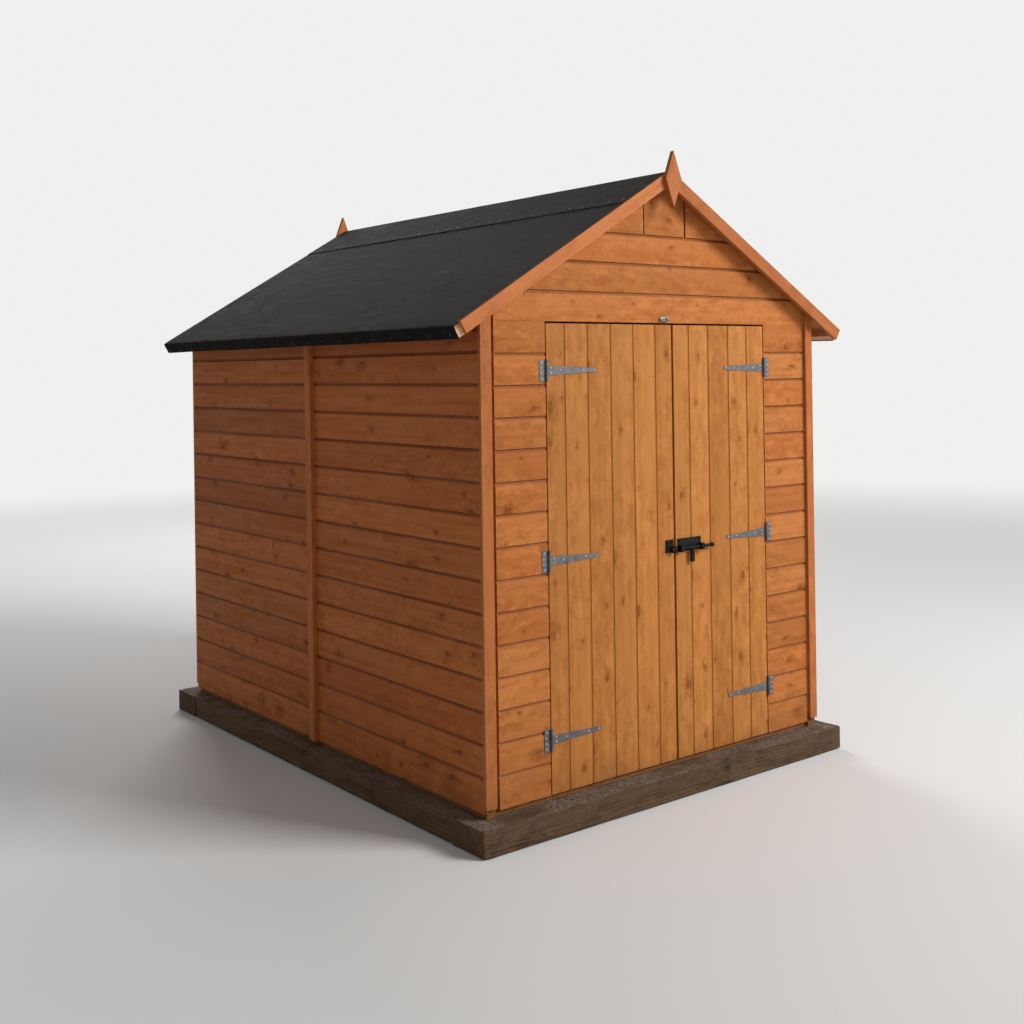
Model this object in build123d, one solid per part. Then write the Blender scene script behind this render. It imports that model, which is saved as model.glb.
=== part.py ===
from build123d import *
import os
from math import cos, radians, sin, tan

# Timber garden shed with an apex roof and double doors, on a frame of sleepers.
# Millimetres. X runs along the front from left to right, Y from the front to the back, Z up.
# The origin is on the ground below the middle of the shed.

# Overall sizes of the shed body, outside the cladding
shed_width = 1830.0
shed_depth = 2390.0

# Sleeper frame that the shed stands on
sleeper_width = 200.0
sleeper_height = 100.0
sleeper_ledge_front = 90.0
sleeper_ledge_side = 65.0

# Floor
bearer_count = 5
bearer_width = 45.0
bearer_height = 45.0
edge_bearer_width = 34.0
deck_thickness = 12.0
rim_thickness = 20.0
rim_setback = 13.0

# Walls
cladding_thickness = 12.0
cladding_lift = 20.0
frame_depth = 35.0
frame_width = 45.0
panel_gap = 1.0
timber_gap = 0.5
wall_height = 1745.0
left_strip_width = 48.0
left_strip_gap = 22.0
right_strip_width = 44.0
right_strip_gap = 4.0
corner_strip_thickness = 14.0
corner_strip_lift = 16.0
joint_cover_width = 45.0
joint_cover_thickness = 20.0
rear_stud_count = 4

# Roof
roof_pitch = 30.5
eaves_rise = 56.0
eaves_overhang = 138.0
verge_overhang = 44.0
felt_thickness = 3.0
roof_deck_thickness = 12.0
eaves_batten_size = 32.0
purlin_width = 45.0
purlin_depth = 45.0
ridge_beam_width = 35.0
ridge_beam_depth = 90.0
ridge_cap_reach = 270.0
truss_thickness = 35.0
truss_timber = 45.0
tie_drop = 65.0
barge_depth = 50.0
barge_thickness = 16.0
barge_proud = 6.0
barge_left_short = 28.0
barge_mitre_gap = 1.0
finial_width = 86.0
finial_rise = 80.0
finial_height = 224.0
finial_thickness = 18.0

# Doors
door_side_panel = 308.0
door_gap = 5.0
meeting_gap = 10.0
meeting_offset = 55.0
door_head_gap = 7.0
door_foot_gap = 2.0
door_thickness = 12.0
ledge_width = 95.0
ledge_thickness = 20.0
ledge_inset = 22.0
brace_width = 70.0
brace_end_gap = 0.5

# Tee hinges
hinge_above_foot = 202.0
hinge_below_head = 175.0
middle_hinge_share = 0.4834
strap_length = 250.0
strap_root = 36.0
strap_tip = 16.0
hinge_plate = 2.5
flange_width = 25.0
flange_height = 82.0
barrel_radius = 5.5
barrel_back_gap = 1.0
eye_height = 30.0
barrel_gap = 0.5
pin_radius = 2.5
pin_clearance = 0.1
plate_setback = 7.0

# Sliding bolt
bolt_below_hinge = 19.0
bolt_radius = 6.0
bolt_throw = 42.0
knob_gap = 5.0
bolt_back = 6.0
bolt_clearance = 0.2
bolt_plate_length = 134.0
bolt_plate_height = 52.0
bolt_plate_rise = 13.0
bolt_plate_thickness = 2.5
bolt_plate_inset = 8.0
guide_length = 16.0
guide_height = 26.0
guide_front = 4.0
bolt_end_inset = 2.0
handle_width = 19.0
handle_drop = 58.0
handle_thickness = 8.0
handle_place = 61.0
knob_radius = 9.0
knob_length = 12.0
keep_plate_length = 44.0
keep_clearance = 1.5
keep_edge_inset = 5.0

# Turn button over the doors
button_length = 50.0
button_width = 18.0
button_thickness = 3.0
button_standoff = 6.0
button_lift = 15.0
button_shift = 32.0
button_screw_radius = 3.0
button_clearance = 0.2
button_washer_radius = 8.0
button_head_radius = 6.0
button_head_height = 3.0

# Places worked out from the sizes above
half_width = shed_width / 2
half_depth = shed_depth / 2
front_face = -half_depth
rear_face = half_depth
sleeper_top = sleeper_height
deck_bottom = sleeper_top + bearer_height
deck_top = deck_bottom + deck_thickness
cladding_foot = sleeper_top + cladding_lift
gable_foot = cladding_foot + wall_height
slope = radians(roof_pitch)
ridge_top = gable_foot + eaves_rise + half_width * tan(slope)
roof_build = felt_thickness + roof_deck_thickness
frame_outer = half_width - cladding_thickness
frame_inner = frame_outer - frame_depth
front_frame_outer = front_face + cladding_thickness
front_frame_inner = front_frame_outer + frame_depth
half_doorway = half_width - door_side_panel
door_head = gable_foot - door_head_gap
door_foot = cladding_foot + door_foot_gap
low_hinge = door_foot + hinge_above_foot
high_hinge = door_head - hinge_below_head
middle_hinge = low_hinge + middle_hinge_share * (high_hinge - low_hinge)
hinge_heights = [low_hinge, middle_hinge, high_hinge]
cladding_left = -(half_width - left_strip_width - left_strip_gap)
cladding_right = half_width - right_strip_width - right_strip_gap
roof_reach = half_width + eaves_overhang


def box(x0, x1, y0, y1, z0, z1):
    """Plain block between two corners."""
    return Pos((x0 + x1) / 2, (y0 + y1) / 2, (z0 + z1) / 2) * Box(x1 - x0, y1 - y0, z1 - z0)


def prism(points, y0, y1):
    """Outline in the X-Z plane, carried along Y."""
    outline = make_face(Polyline(*[(x, y0, z) for x, z in points], close=True))
    return extrude(outline, amount=y1 - y0, dir=(0, 1, 0))


def across(shape):
    """The same piece on the right-hand side."""
    return mirror(shape, about=Plane.YZ)


def to_rear(shape):
    """The same piece at the back."""
    return mirror(shape, about=Plane.XZ)


def roof_top(x, depth=0.0):
    """Height of a plane that lies a square depth below the felt's top face."""
    return ridge_top - abs(x) * tan(slope) - depth / cos(slope)


def on_slope(along, depth):
    """Point on the left slope: its distance down the slope from the ridge, and its square depth."""
    x = -along * cos(slope) + depth * sin(slope)
    z = ridge_top - along * sin(slope) - depth * cos(slope)
    return (x, z)


def slope_layer(top_depth, bottom_depth, eaves_along, y0, y1):
    """Layer of the left slope, plumb at the ridge and square at the eaves."""
    outline = [
        (0.0, roof_top(0.0, top_depth)),
        on_slope(eaves_along, top_depth),
        on_slope(eaves_along, bottom_depth),
        (0.0, roof_top(0.0, bottom_depth)),
    ]
    return prism(outline, y0, y1)


eaves_along = roof_reach / cos(slope)
verge_front = front_face - verge_overhang
verge_rear = rear_face + verge_overhang
parts = {}


def keep_part(name, *solids):
    """Name a piece, or several like pieces that don't touch."""
    parts[name] = solids[0] if len(solids) == 1 else Compound(children=list(solids))


# Sleeper frame: two across the front and back, two between them
frame_x = half_width + sleeper_ledge_side
frame_y = half_depth + sleeper_ledge_front
sleeper_front = box(-frame_x, frame_x, -frame_y, -frame_y + sleeper_width, 0, sleeper_top)
sleeper_left = box(
    -frame_x, -frame_x + sleeper_width, -frame_y + sleeper_width, frame_y - sleeper_width, 0, sleeper_top
)
keep_part("base_sleeper_front", sleeper_front)
keep_part("base_sleeper_rear", to_rear(sleeper_front))
keep_part("base_sleeper_left", sleeper_left)
keep_part("base_sleeper_right", across(sleeper_left))

# Floor: bearers from front to back between two rims, with the deck on them
rim_face = half_depth - rim_setback
edge_bearer_inner = frame_outer - edge_bearer_width
edge_bearer = box(-frame_outer, -edge_bearer_inner, -half_depth, half_depth, sleeper_top, deck_bottom)
bearer_pitch = (2 * frame_outer - bearer_width) / (bearer_count - 1)
bearer_end = rim_face - rim_thickness - timber_gap
bearers = [edge_bearer, across(edge_bearer)]
for number in range(1, bearer_count - 1):
    left = -frame_outer + number * bearer_pitch
    bearers.append(box(left, left + bearer_width, -bearer_end, bearer_end, sleeper_top, deck_bottom))
rim_end = edge_bearer_inner - timber_gap
rim = box(-rim_end, rim_end, -rim_face, -rim_face + rim_thickness, sleeper_top, deck_bottom)
keep_part("floor_bearers", *bearers, rim, to_rear(rim))
keep_part("floor_deck", box(-frame_outer, frame_outer, -rim_face, rim_face, deck_bottom, deck_top))

# Side walls: two panels a side, each a sheet of boards on its own frame
panel_ends = [(front_face, -panel_gap / 2), (panel_gap / 2, rear_face)]


def side_cladding(y0, y1):
    outline = [
        (-half_width, cladding_foot),
        (-half_width, roof_top(half_width, roof_build)),
        (-frame_outer, roof_top(frame_outer, roof_build)),
        (-frame_outer, cladding_foot),
    ]
    return prism(outline, y0, y1)


def side_panel_frame(y0, y1):
    """Bottom rail, bevelled top rail and three studs of one side panel."""
    rail_top = roof_top(frame_outer, roof_build) - frame_width
    top_rail = prism(
        [
            (-frame_outer, rail_top),
            (-frame_outer, roof_top(frame_outer, roof_build)),
            (-frame_inner, roof_top(frame_inner, roof_build)),
            (-frame_inner, rail_top),
        ],
        y0,
        y1,
    )
    bottom_rail = box(-frame_outer, -frame_inner, y0, y1, deck_top, deck_top + frame_width)
    pieces = [bottom_rail, top_rail]
    middle = (y0 + y1 - frame_width) / 2
    for stud in (y0, middle, y1 - frame_width):
        pieces.append(
            box(
                -frame_outer,
                -frame_inner,
                stud,
                stud + frame_width,
                deck_top + frame_width + timber_gap,
                rail_top - timber_gap,
            )
        )
    return pieces


left_cladding = [side_cladding(*ends) for ends in panel_ends]
left_frames = [piece for ends in panel_ends for piece in side_panel_frame(*ends)]
keep_part("left_wall_front", left_cladding[0])
keep_part("left_wall_rear", left_cladding[1])
keep_part("right_wall_front", across(left_cladding[0]))
keep_part("right_wall_rear", across(left_cladding[1]))
keep_part("left_frame", *left_frames)
keep_part("right_frame", *[across(piece) for piece in left_frames])

# Front wall beside the doorway, and the gables
gable_outline = [
    (cladding_left, gable_foot),
    (cladding_left, roof_top(cladding_left, roof_build)),
    (0.0, roof_top(0.0, roof_build)),
    (cladding_right, roof_top(cladding_right, roof_build)),
    (cladding_right, gable_foot),
]
front_gable = prism(gable_outline, front_face, front_frame_outer)


def end_cladding(x0, x1):
    return box(x0, x1, front_face, front_frame_outer, cladding_foot, gable_foot)


keep_part("front_wall_left", end_cladding(cladding_left, -half_doorway))
keep_part("front_wall_right", end_cladding(half_doorway, cladding_right))
keep_part("front_gable", front_gable)
keep_part("rear_wall", to_rear(end_cladding(cladding_left, cladding_right)))
keep_part("rear_gable", to_rear(front_gable))

# End frames: posts on the floor, a head rail, gable rafters and a king stud
head_top = gable_foot + frame_width
post_foot = deck_top + frame_width + timber_gap


def end_post(x0):
    return box(x0, x0 + frame_width, front_frame_outer, front_frame_inner, post_foot, gable_foot - timber_gap)


def gable_rafter():
    """Left rafter under the roof deck, from the side wall to the king stud."""
    low = -frame_inner
    high = -frame_width / 2 - timber_gap
    under = roof_build + frame_width
    foot = head_top + timber_gap
    foot_x = -(ridge_top - under / cos(slope) - foot) / tan(slope)
    return prism(
        [
            (low, foot),
            (low, roof_top(low, roof_build)),
            (high, roof_top(high, roof_build)),
            (high, roof_top(high, under)),
            (foot_x, foot),
        ],
        front_frame_outer,
        front_frame_inner,
    )


def end_frame_top():
    head = box(-frame_inner, frame_inner, front_frame_outer, front_frame_inner, gable_foot, head_top)
    stud_half = frame_width / 2
    king = prism(
        [
            (-stud_half, head_top + timber_gap),
            (-stud_half, roof_top(stud_half, roof_build)),
            (0.0, roof_top(0.0, roof_build)),
            (stud_half, roof_top(stud_half, roof_build)),
            (stud_half, head_top + timber_gap),
        ],
        front_frame_outer,
        front_frame_inner,
    )
    rafter = gable_rafter()
    return [head, king, rafter, across(rafter)]


corner_post = end_post(-frame_inner)
door_post = end_post(-half_doorway - frame_width)
door_rail = box(
    -frame_inner, -half_doorway, front_frame_outer, front_frame_inner, deck_top, deck_top + frame_width
)
front_frame = [corner_post, across(corner_post), door_post, across(door_post), door_rail, across(door_rail)]
keep_part("front_frame", *front_frame, *end_frame_top())

rear_rail = box(-frame_inner, frame_inner, front_frame_outer, front_frame_inner, deck_top, deck_top + frame_width)
rear_posts = []
rear_pitch = (2 * frame_inner - frame_width) / (rear_stud_count - 1)
for number in range(rear_stud_count):
    rear_posts.append(end_post(-frame_inner + number * rear_pitch))
keep_part("rear_frame", *[to_rear(piece) for piece in [rear_rail, *rear_posts, *end_frame_top()]])

# Corner strips over the ends of the side panels, and covers over the panel joints
strip_foot = cladding_foot + corner_strip_lift


def corner_strip(width):
    inner = half_width - width
    return prism(
        [
            (-half_width, strip_foot),
            (-half_width, roof_top(half_width, roof_build)),
            (-inner, roof_top(inner, roof_build)),
            (-inner, strip_foot),
        ],
        front_face - corner_strip_thickness,
        front_face,
    )


left_strip = corner_strip(left_strip_width)
right_strip = across(corner_strip(right_strip_width))
keep_part("front_corner_strips", left_strip, right_strip)
keep_part("rear_corner_strips", to_rear(left_strip), to_rear(right_strip))

cover_outer = half_width + joint_cover_thickness
joint_cover = prism(
    [
        (-cover_outer, cladding_foot),
        (-cover_outer, roof_top(cover_outer, roof_build)),
        (-half_width, roof_top(half_width, roof_build)),
        (-half_width, cladding_foot),
    ],
    -joint_cover_width / 2,
    joint_cover_width / 2,
)
keep_part("side_joint_covers", joint_cover, across(joint_cover))

# Roof: decks on purlins, a ridge beam and eaves battens, with a truss at the panel joint
roof_deck = slope_layer(felt_thickness, roof_build, eaves_along - felt_thickness, verge_front, verge_rear)
keep_part("roof_deck_left", roof_deck)
keep_part("roof_deck_right", across(roof_deck))

batten_bottom = roof_build + eaves_batten_size
felt_sheet = slope_layer(0.0, felt_thickness, eaves_along, verge_front, verge_rear)
felt_fold = prism(
    [
        on_slope(eaves_along, 0.0),
        on_slope(eaves_along, batten_bottom),
        on_slope(eaves_along - felt_thickness, batten_bottom),
        on_slope(eaves_along - felt_thickness, 0.0),
    ],
    verge_front,
    verge_rear,
)
felt_left = felt_sheet + felt_fold
keep_part("roof_felt_left", felt_left)
keep_part("roof_felt_right", across(felt_left))

cap_half = prism(
    [
        (0.0, roof_top(0.0)),
        (0.0, roof_top(0.0, -felt_thickness)),
        on_slope(ridge_cap_reach, -felt_thickness),
        on_slope(ridge_cap_reach, 0.0),
    ],
    verge_front,
    verge_rear,
)
keep_part("ridge_cap", cap_half + across(cap_half))

batten_along = eaves_along - felt_thickness
eaves_batten = prism(
    [
        on_slope(batten_along, roof_build),
        on_slope(batten_along, batten_bottom),
        on_slope(batten_along - eaves_batten_size, batten_bottom),
        on_slope(batten_along - eaves_batten_size, roof_build),
    ],
    verge_front,
    verge_rear,
)
keep_part("eaves_battens", eaves_batten, across(eaves_batten))

purlin_along = eaves_along / 2 - purlin_width
purlin_bottom = roof_build + purlin_depth
purlin = prism(
    [
        on_slope(purlin_along, roof_build),
        on_slope(purlin_along, purlin_bottom),
        on_slope(purlin_along + purlin_width, purlin_bottom),
        on_slope(purlin_along + purlin_width, roof_build),
    ],
    front_frame_inner,
    -front_frame_inner,
)
keep_part("purlins", purlin, across(purlin))

beam_half = ridge_beam_width / 2
ridge_beam = prism(
    [
        (-beam_half, roof_top(0.0, roof_build) - ridge_beam_depth),
        (-beam_half, roof_top(beam_half, roof_build)),
        (0.0, roof_top(0.0, roof_build)),
        (beam_half, roof_top(beam_half, roof_build)),
        (beam_half, roof_top(0.0, roof_build) - ridge_beam_depth),
    ],
    front_frame_inner,
    -front_frame_inner,
)
keep_part("ridge_beam", ridge_beam)

# Middle truss: tie between the side frames, two rafters under the purlins and a king post
tie_bottom = gable_foot - tie_drop
tie_top = tie_bottom + truss_timber
truss_y = truss_thickness / 2
tie = box(-frame_inner, frame_inner, -truss_y, truss_y, tie_bottom, tie_top)
king_half = truss_timber / 2
king_top = roof_top(0.0, roof_build) - ridge_beam_depth
king_post = box(-king_half, king_half, -truss_y, truss_y, tie_top + timber_gap, king_top)
rafter_top = purlin_bottom
rafter_bottom = purlin_bottom + truss_timber
rafter_foot = tie_top + timber_gap
rafter_in = -(ridge_top - rafter_bottom / cos(slope) - rafter_foot) / tan(slope)
rafter_low = -frame_inner
rafter_high = -king_half - timber_gap
truss_rafter = prism(
    [
        (rafter_low, rafter_foot),
        (rafter_low, roof_top(rafter_low, rafter_top)),
        (rafter_high, roof_top(rafter_high, rafter_top)),
        (rafter_high, roof_top(rafter_high, rafter_bottom)),
        (rafter_in, rafter_foot),
    ],
    -truss_y,
    truss_y,
)
keep_part("roof_truss", tie, king_post, truss_rafter, across(truss_rafter))

# Barge boards along the verges and a finial over each apex; the left boards stop short of the eaves
barge_front = verge_front - barge_thickness


def barge_board(reach):
    return prism(
        [
            (-barge_mitre_gap / 2, roof_top(barge_mitre_gap / 2, -barge_proud)),
            on_slope(reach, -barge_proud),
            on_slope(reach, barge_depth - barge_proud),
            (-barge_mitre_gap / 2, roof_top(barge_mitre_gap / 2, barge_depth - barge_proud)),
        ],
        barge_front,
        verge_front,
    )


barge_left = barge_board(eaves_along - barge_left_short)
barge_right = across(barge_board(eaves_along))
keep_part("barge_board_front_left", barge_left)
keep_part("barge_board_front_right", barge_right)
keep_part("barge_board_rear_left", to_rear(barge_left))
keep_part("barge_board_rear_right", to_rear(barge_right))

finial_tip = ridge_top + finial_rise
finial_middle = finial_tip - finial_height / 2
finial = prism(
    [
        (0.0, finial_tip),
        (-finial_width / 2, finial_middle),
        (0.0, finial_tip - finial_height),
        (finial_width / 2, finial_middle),
    ],
    barge_front - finial_thickness,
    barge_front,
)
keep_part("finial_front", finial)
keep_part("finial_rear", to_rear(finial))

# Doors: boards on three ledges with a brace between each pair
ledge_front = front_face + door_thickness
ledge_rear = ledge_front + ledge_thickness


def door_boards(x0, x1):
    return box(x0, x1, front_face, ledge_front, door_foot, door_head)


def door_ledges(x0, x1, hinge_left):
    """Ledges behind the hinges and braces that rise away from the hinge side."""
    left = x0 + ledge_inset
    right = x1 - ledge_inset
    pieces = []
    for z in hinge_heights:
        pieces.append(box(left, right, ledge_front, ledge_rear, z - ledge_width / 2, z + ledge_width / 2))
    for low, high in zip(hinge_heights, hinge_heights[1:]):
        foot = low + ledge_width / 2 + brace_end_gap
        head = high - ledge_width / 2 - brace_end_gap
        start = left if hinge_left else right - brace_width
        end = right - brace_width if hinge_left else left
        pieces.append(
            prism(
                [(start, foot), (start + brace_width, foot), (end + brace_width, head), (end, head)],
                ledge_front,
                ledge_rear,
            )
        )
    return pieces


left_door_x = (-half_doorway + door_gap, meeting_offset - meeting_gap / 2)
right_door_x = (meeting_offset + meeting_gap / 2, half_doorway - door_gap)
keep_part("left_door_boards", door_boards(*left_door_x))
keep_part("left_door_ledges", *door_ledges(*left_door_x, True))
keep_part("right_door_boards", door_boards(*right_door_x))
keep_part("right_door_ledges", *door_ledges(*right_door_x, False))

# Tee hinges: a tapered strap on the door turns on a pin held by a flange on the wall
hinge_x = -half_doorway + door_gap / 2
hinge_y = front_face - barrel_back_gap - barrel_radius
plate_front = front_face - hinge_plate


def hinge_strap(z):
    x0 = hinge_x + plate_setback
    x1 = hinge_x + strap_length
    tip_centre = x1 - strap_tip / 2
    strap = prism(
        [
            (x0, z - strap_root / 2),
            (tip_centre, z - strap_tip / 2),
            (tip_centre, z + strap_tip / 2),
            (x0, z + strap_root / 2),
        ],
        plate_front,
        front_face,
    )
    tip = Pos(tip_centre, (plate_front + front_face) / 2, z) * Rot(90, 0, 0)
    strap += tip * Cylinder(strap_tip / 2, hinge_plate)
    strap += box(hinge_x, x0, plate_front, front_face, z - eye_height / 2, z + eye_height / 2)
    strap += Pos(hinge_x, hinge_y, z) * Cylinder(barrel_radius, eye_height)
    strap -= Pos(hinge_x, hinge_y, z) * Cylinder(pin_radius + pin_clearance, 2 * eye_height)
    return strap


def hinge_flange(z):
    x1 = hinge_x - plate_setback
    flange = box(x1 - flange_width, x1, plate_front, front_face, z - flange_height / 2, z + flange_height / 2)
    barrel_foot = eye_height / 2 + barrel_gap
    barrel_height = flange_height / 2 - barrel_foot
    for side in (-1, 1):
        middle = z + side * (barrel_foot + barrel_height / 2)
        flange += Pos(hinge_x, hinge_y, middle) * Cylinder(barrel_radius, barrel_height)
        flange += box(
            x1, hinge_x, plate_front, front_face, middle - barrel_height / 2, middle + barrel_height / 2
        )
    flange += Pos(hinge_x, hinge_y, z) * Cylinder(pin_radius, flange_height)
    return flange


straps = [hinge_strap(z) for z in hinge_heights]
flanges = [hinge_flange(z) for z in hinge_heights]
keep_part("left_hinge_straps", *straps)
keep_part("left_hinge_flanges", *flanges)
keep_part("right_hinge_straps", *[across(piece) for piece in straps])
keep_part("right_hinge_flanges", *[across(piece) for piece in flanges])

# Sliding bolt on the right-hand door, drawn back, with a square keep on the left-hand door
bolt_z = middle_hinge - bolt_below_hinge
bolt_y = front_face - bolt_plate_thickness - bolt_back - bolt_radius
bolt_plate_x = right_door_x[0] + bolt_plate_inset
guide_face = bolt_y - bolt_radius - guide_front
plate_face = front_face - bolt_plate_thickness
plate_foot = bolt_z + bolt_plate_rise - bolt_plate_height / 2
plate_head = plate_foot + bolt_plate_height


def bore(x0, x1, radius):
    """Round hole along X on the bolt's line, longer than the block at both ends."""
    return Pos((x0 + x1) / 2, bolt_y, bolt_z) * Rot(0, 90, 0) * Cylinder(radius, 2 * (x1 - x0))


def guide(x0, x1, radius):
    block = box(x0, x1, guide_face, plate_face, bolt_z - guide_height / 2, bolt_z + guide_height / 2)
    return block - bore(x0, x1, radius)


bolt_plate_end = bolt_plate_x + bolt_plate_length
bolt_plate = box(bolt_plate_x, bolt_plate_end, plate_face, front_face, plate_foot, plate_head)
bolt_plate += guide(bolt_plate_x, bolt_plate_x + guide_length, bolt_radius + bolt_clearance)
bolt_plate += guide(bolt_plate_end - guide_length, bolt_plate_end, bolt_radius + bolt_clearance)
keep_part("bolt_plate", bolt_plate)

bolt_x = bolt_plate_x + bolt_end_inset
bolt_end = bolt_plate_end + bolt_throw + knob_gap
bolt_length = bolt_end - bolt_x
handle_x = bolt_x + handle_place
bolt = Pos((bolt_x + bolt_end) / 2, bolt_y, bolt_z) * Rot(0, 90, 0) * Cylinder(bolt_radius, bolt_length)
bolt += Pos(bolt_end + knob_length / 2, bolt_y, bolt_z) * Rot(0, 90, 0) * Cylinder(knob_radius, knob_length)
bolt += box(
    handle_x,
    handle_x + handle_width,
    bolt_y - handle_thickness / 2,
    bolt_y + handle_thickness / 2,
    bolt_z - handle_drop,
    bolt_z,
)
keep_part("bolt_bar", bolt)

keep_x1 = left_door_x[1] - keep_edge_inset
keep_x0 = keep_x1 - keep_plate_length
bolt_keep = box(keep_x0, keep_x1, plate_face, front_face, plate_foot, plate_head)
staple = box(
    keep_x1 - guide_length,
    keep_x1,
    guide_face,
    plate_face,
    bolt_z - guide_height / 2,
    bolt_z + guide_height / 2,
)
socket_half = bolt_radius + keep_clearance
staple -= box(
    keep_x0,
    keep_x1,
    bolt_y - socket_half,
    plate_face,
    bolt_z - socket_half,
    bolt_z + socket_half,
)
keep_part("bolt_keep", bolt_keep + staple)

# Turn button on the gable above the left-hand door, lying level and clear of the door
button_z = gable_foot + button_lift
button_x0 = meeting_offset - button_shift
button_back = front_face - button_standoff
button_front = button_back - button_thickness


def across_button(x, radius):
    """Round bar through the button's thickness."""
    centre = Pos(x, (button_back + button_front) / 2, button_z) * Rot(90, 0, 0)
    return centre * Cylinder(radius, button_thickness)


button_reach = button_length - button_width
button = box(
    button_x0 - button_reach,
    button_x0,
    button_front,
    button_back,
    button_z - button_width / 2,
    button_z + button_width / 2,
)
button += across_button(button_x0, button_width / 2)
button += across_button(button_x0 - button_reach, button_width / 2)
button -= Pos(button_x0, (button_back + button_front) / 2, button_z) * Rot(90, 0, 0) * Cylinder(
    button_screw_radius + button_clearance, 2 * button_thickness
)
keep_part("turn_button", button)

washer_gap = button_clearance
washer_length = button_standoff - washer_gap
screw_length = washer_length + button_thickness + 2 * washer_gap
screw = Pos(button_x0, front_face - washer_length / 2, button_z) * Rot(90, 0, 0) * Cylinder(
    button_washer_radius, washer_length
)
screw += Pos(button_x0, front_face - screw_length / 2, button_z) * Rot(90, 0, 0) * Cylinder(
    button_screw_radius, screw_length
)
head_centre = front_face - screw_length - button_head_height / 2
screw += Pos(button_x0, head_centre, button_z) * Rot(90, 0, 0) * Cylinder(
    button_head_radius, button_head_height
)
keep_part("turn_button_screw", screw)

os.makedirs("parts", exist_ok=True)
for name, shape in parts.items():
    export_step(shape, f"parts/{name}.step")
print(len(parts), "pieces written")
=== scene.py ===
# Looks for the timber garden shed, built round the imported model.
# Metres, in the model's own frame: X along the front, Y towards the back, Z up.
import math
import random

import bmesh
import bpy
from mathutils import Matrix, Vector, noise


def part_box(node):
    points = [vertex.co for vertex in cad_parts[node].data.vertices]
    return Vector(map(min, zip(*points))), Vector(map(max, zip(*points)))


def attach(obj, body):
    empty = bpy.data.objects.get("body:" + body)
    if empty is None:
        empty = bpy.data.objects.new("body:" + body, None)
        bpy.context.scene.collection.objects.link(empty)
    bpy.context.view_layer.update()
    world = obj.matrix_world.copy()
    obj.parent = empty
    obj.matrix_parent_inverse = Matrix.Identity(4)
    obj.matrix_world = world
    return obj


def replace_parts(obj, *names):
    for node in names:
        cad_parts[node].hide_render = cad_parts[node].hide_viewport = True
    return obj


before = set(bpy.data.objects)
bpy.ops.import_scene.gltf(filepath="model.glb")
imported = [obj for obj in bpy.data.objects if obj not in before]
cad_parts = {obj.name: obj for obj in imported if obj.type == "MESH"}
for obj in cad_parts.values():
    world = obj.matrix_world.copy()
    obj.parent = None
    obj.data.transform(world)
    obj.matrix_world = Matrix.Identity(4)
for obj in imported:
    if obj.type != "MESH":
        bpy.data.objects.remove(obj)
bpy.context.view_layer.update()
random.seed(11)

RIGHT = Vector((1, 0, 0))
BACK = Vector((0, 1, 0))
UP = Vector((0, 0, 1))
sides = ((-1, "left"), (1, "right"))

# Sizes shared with the part's source
roof_slope = math.radians(30.5)
slope_cos = math.cos(roof_slope)
slope_sin = math.sin(roof_slope)
ridge_top = 2.460
felt_thickness = 0.003
roof_deck_thickness = 0.012
roof_build = felt_thickness + roof_deck_thickness
board_cover = 0.1158
cladding_foot = 0.120
gable_foot = 1.865
front_face = -1.195


def rgb(red, green, blue):
    """Linear colour from screen values between 0 and 255."""
    linear = []
    for value in (red, green, blue):
        share = value / 255
        linear.append(share / 12.92 if share <= 0.04045 else ((share + 0.055) / 1.055) ** 2.4)
    return (*linear, 1.0)


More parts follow.
